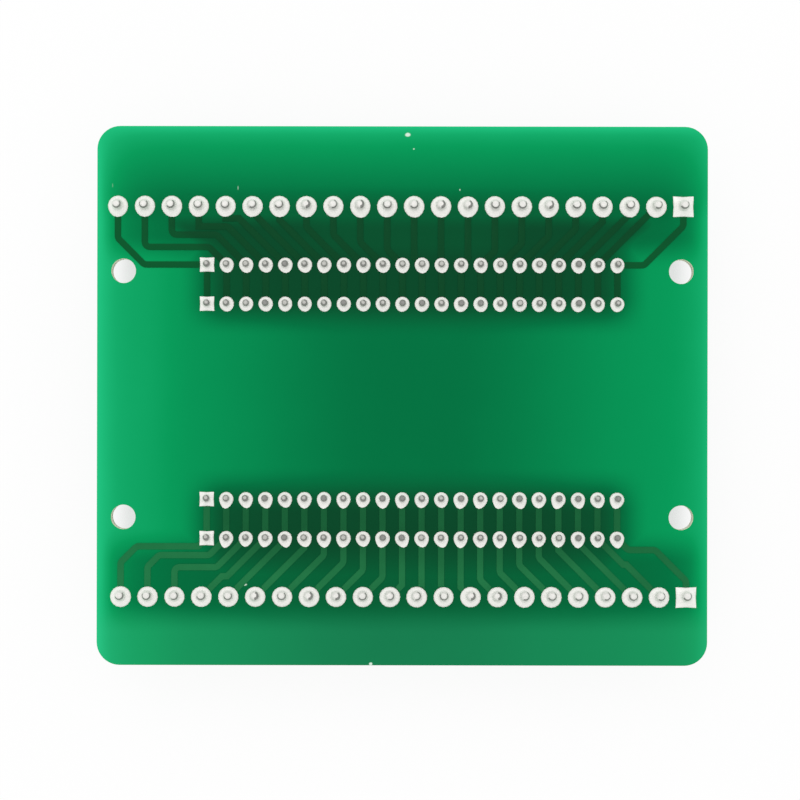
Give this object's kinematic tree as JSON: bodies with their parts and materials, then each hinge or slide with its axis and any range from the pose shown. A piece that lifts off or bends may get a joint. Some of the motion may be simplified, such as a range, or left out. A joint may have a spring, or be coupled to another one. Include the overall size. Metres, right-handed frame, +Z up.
{
  "type": "breakout board",
  "caption": "Flat green circuit board with round corners and mounting holes, lying solder side up on its rows of screw terminals, with pin headers and module sockets between them.",
  "frame": {"origin": "on the floor under the middle of the board's outline, at the tops of the terminals", "axes": "+X along the pin rows with the marked header pins at -X, +Y across the rows, +Z up out of the solder side"},
  "size_m": [0.0794, 0.0702, 0.012],
  "materials": {
    "board": "glossy solder mask",
    "tracks": "copper under mask",
    "solder": "bright solder",
    "terminal_plastic": "satin",
    "header_plastic": "satin",
    "gilt_pins": "polished",
    "tinned_pins": "satin",
    "clamp_metal": "nickel plated"
  },
  "bodies": {
    "root": {"circuit_board": "board", "tracks": "tracks", "upper_terminal_pins": "tinned_pins", "upper_wire_cages": "clamp_metal", "upper_clamp_screws": "clamp_metal", "upper_pin_header_body": "header_plastic", "upper_socket_body": "header_plastic", "upper_pin_header_pins": "gilt_pins", "upper_socket_pins": "tinned_pins", "upper_terminal_solder": "solder", "upper_pin_header_solder": "solder", "upper_socket_solder": "solder", "lower_terminal_pins": "tinned_pins", "lower_wire_cages": "clamp_metal", "lower_clamp_screws": "clamp_metal", "lower_pin_header_body": "header_plastic", "lower_socket_body": "header_plastic", "lower_pin_header_pins": "gilt_pins", "lower_socket_pins": "tinned_pins", "lower_terminal_solder": "solder", "lower_pin_header_solder": "solder", "lower_socket_solder": "solder", "upper_terminal_block_01": "terminal_plastic", "upper_terminal_block_02": "terminal_plastic", "upper_terminal_block_03": "terminal_plastic", "upper_terminal_block_04": "terminal_plastic", "upper_terminal_block_05": "terminal_plastic", "upper_terminal_block_06": "terminal_plastic", "upper_terminal_block_07": "terminal_plastic", "upper_terminal_block_08": "terminal_plastic", "upper_terminal_block_09": "terminal_plastic", "upper_terminal_block_10": "terminal_plastic", "upper_terminal_block_11": "terminal_plastic", "lower_terminal_block_01": "terminal_plastic", "lower_terminal_block_02": "terminal_plastic", "lower_terminal_block_03": "terminal_plastic", "lower_terminal_block_04": "terminal_plastic", "lower_terminal_block_05": "terminal_plastic", "lower_terminal_block_06": "terminal_plastic", "lower_terminal_block_07": "terminal_plastic", "lower_terminal_block_08": "terminal_plastic", "lower_terminal_block_09": "terminal_plastic", "lower_terminal_block_10": "terminal_plastic", "lower_terminal_block_11": "terminal_plastic"}
  },
  "joints": []
}
